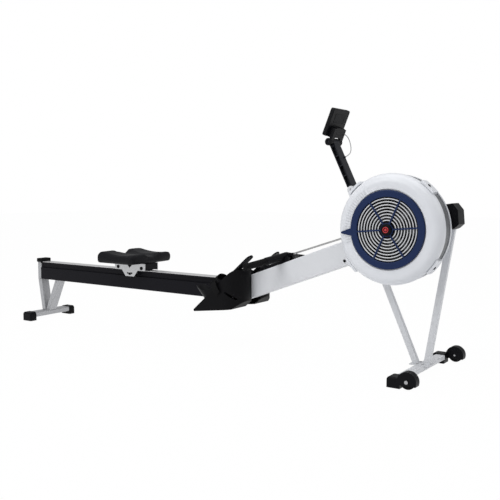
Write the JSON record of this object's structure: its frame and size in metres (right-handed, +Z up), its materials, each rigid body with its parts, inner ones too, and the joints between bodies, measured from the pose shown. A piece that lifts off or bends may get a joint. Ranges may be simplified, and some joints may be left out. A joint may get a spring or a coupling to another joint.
{
  "type": "rowing machine",
  "caption": "Air-resistance rowing machine: sliding seat on a long rail, foot stretchers, pull handle on a chain, caged flywheel with damper, and a folding monitor arm.",
  "frame": {"origin": "on the floor, in the middle of the machine's bounding box", "axes": "+X forward from the seat to the flywheel, +Y to the rower's left, +Z up"},
  "size_m": [2.4699, 0.562, 1.0858],
  "materials": {
    "white_paint": "satin",
    "black_paint": "satin",
    "rail_black": "satin",
    "stainless": "brushed",
    "silver": "satin",
    "mesh": "satin",
    "white_plastic": "satin",
    "black_plastic": "matte",
    "navy_plastic": "satin",
    "guard_metal": "satin",
    "fan_metal": "satin",
    "rubber": "matte",
    "pad": "matte",
    "steel": "satin",
    "cord": "matte",
    "strap": "matte",
    "screen": "gloss",
    "cable": "matte"
  },
  "bodies": {
    "frame": {"rail": "rail_black", "rail_track": "stainless", "rail_end_stop": "rubber", "rear_post": "silver", "rear_brace": "silver", "rear_crossbar": "silver", "rear_foot_caps": "black_plastic", "frame_joint": "black_paint", "beam": "white_paint", "beam_nose_block": "black_plastic", "front_legs": "white_paint", "front_crossbar": "white_paint", "front_foot_caps": "black_plastic", "housing_far_shell": "white_plastic", "housing_mesh_band": "mesh", "housing_near_shell": "white_plastic", "housing_clips": "white_plastic", "intake_plate": "black_plastic", "axle_bearings": "steel", "drive_chain": "steel", "return_chain": "steel", "return_cord": "cord", "handle_hook": "black_plastic", "footboard_right": "black_plastic", "footboard_left": "black_plastic", "arm_post": "white_paint", "frame_bolts": "steel", "cross_pins": "steel"},
    "seat": {"seat_pad": "pad", "carriage_frame": "black_paint", "carriage_side_plates": "silver", "roller_pins": "steel"},
    "rear_rollers": {"rollers_rear": "black_plastic"},
    "front_rollers": {"rollers_front": "black_plastic"},
    "under_rollers": {"lower_rollers": "black_plastic"},
    "handle": {"handle_body": "black_plastic", "handle_grips": "rubber"},
    "chain_wheel": {"sprocket": "steel", "one_way_clutch": "steel"},
    "flywheel": {"flywheel_axle": "steel", "flywheel_fan": "fan_metal"},
    "pulley": {"cord_pulley": "black_plastic"},
    "damper": {"damper_ring": "navy_plastic", "guard_rings": "guard_metal", "damper_shutter": "black_plastic", "hub_cap": "black_plastic"},
    "right_wheel": {"wheel_right": "rubber"},
    "left_wheel": {"wheel_left": "rubber"},
    "right_foot": {"sole_right": "black_plastic", "strap_right": "strap"},
    "left_foot": {"sole_left": "black_plastic", "strap_left": "strap"},
    "arm": {"monitor_arm": "black_plastic"},
    "monitor": {"monitor_case": "black_plastic", "monitor_screen": "screen", "monitor_neck": "black_plastic", "monitor_cable": "cable"},
    "button_1": {"monitor_button_1": "rubber"},
    "button_2": {"monitor_button_2": "rubber"},
    "button_3": {"monitor_button_3": "rubber"}
  },
  "joints": [
    {"name": "seat_slide", "type": "slide", "parent": "frame", "child": "seat", "axis": [1, 0, 0], "range_m": [-0.59, 0.34]},
    {"name": "rear_roller_spin", "type": "hinge", "parent": "seat", "child": "rear_rollers", "pos_m": [-0.561, 0, 0.3353], "axis": [0, 1, 0], "continuous": true},
    {"name": "front_roller_spin", "type": "hinge", "parent": "seat", "child": "front_rollers", "pos_m": [-0.397, 0, 0.3353], "axis": [0, 1, 0], "continuous": true},
    {"name": "under_roller_spin", "type": "hinge", "parent": "seat", "child": "under_rollers", "pos_m": [-0.479, 0, 0.3027], "axis": [0, 1, 0], "continuous": true},
    {"name": "handle_pull", "type": "slide", "parent": "frame", "child": "handle", "axis": [-0.866, 0, 0.5], "range_m": [0, 0.78], "stiffness_N_per_m": 20, "springref_m": -0.5, "deforming": ["drive_chain", "return_chain", "return_cord"]},
    {"name": "sprocket_spin", "type": "hinge", "parent": "frame", "child": "chain_wheel", "pos_m": [1.005, 0, 0.587], "axis": [0, 1, 0], "continuous": true},
    {"name": "flywheel_spin", "type": "hinge", "parent": "frame", "child": "flywheel", "pos_m": [1.005, 0, 0.587], "axis": [0, 1, 0], "continuous": true},
    {"name": "pulley_spin", "type": "hinge", "parent": "frame", "child": "pulley", "pos_m": [0.236, 0, 0.27388], "axis": [0, 1, 0], "continuous": true},
    {"name": "damper_turn", "type": "hinge", "parent": "frame", "child": "damper", "pos_m": [1.005, 0, 0.587], "axis": [0, 1, 0], "range_deg": [-10, 55]},
    {"name": "right_wheel_spin", "type": "hinge", "parent": "frame", "child": "right_wheel", "pos_m": [1.136, -0.261, 0.034], "axis": [0, 1, 0], "continuous": true},
    {"name": "left_wheel_spin", "type": "hinge", "parent": "frame", "child": "left_wheel", "pos_m": [1.136, 0.261, 0.034], "axis": [0, 1, 0], "continuous": true},
    {"name": "right_foot_slide", "type": "slide", "parent": "frame", "child": "right_foot", "axis": [0.7501, 0, 0.6613], "range_m": [-0.07, 0]},
    {"name": "left_foot_slide", "type": "slide", "parent": "frame", "child": "left_foot", "axis": [0.7501, 0, 0.6613], "range_m": [-0.07, 0]},
    {"name": "arm_fold", "type": "hinge", "parent": "frame", "child": "arm", "pos_m": [0.739, 0.067, 0.738], "axis": [0, 1, 0], "range_deg": [-60, 60]},
    {"name": "monitor_tilt", "type": "hinge", "parent": "arm", "child": "monitor", "pos_m": [0.64, 0.067, 0.944], "axis": [0, 1, 0], "range_deg": [-40, 30], "deforming": ["monitor_cable"]},
    {"name": "button_1_press", "type": "slide", "parent": "monitor", "child": "button_1", "axis": [0.9252, 0, -0.3795], "range_m": [0, 0.0012], "stiffness_N_per_m": 300},
    {"name": "button_2_press", "type": "slide", "parent": "monitor", "child": "button_2", "axis": [0.9252, 0, -0.3795], "range_m": [0, 0.0012], "stiffness_N_per_m": 300},
    {"name": "button_3_press", "type": "slide", "parent": "monitor", "child": "button_3", "axis": [0.9252, 0, -0.3795], "range_m": [0, 0.0012], "stiffness_N_per_m": 300}
  ],
  "couplings": [
    {"joint": "rear_roller_spin", "follows": "seat_slide", "rad_per_m": 76.923},
    {"joint": "front_roller_spin", "follows": "seat_slide", "rad_per_m": 76.923},
    {"joint": "under_roller_spin", "follows": "seat_slide", "rad_per_m": -111.11},
    {"joint": "sprocket_spin", "follows": "handle_pull", "rad_per_m": -27.405},
    {"joint": "pulley_spin", "follows": "handle_pull", "rad_per_m": 22.727}
  ]
}
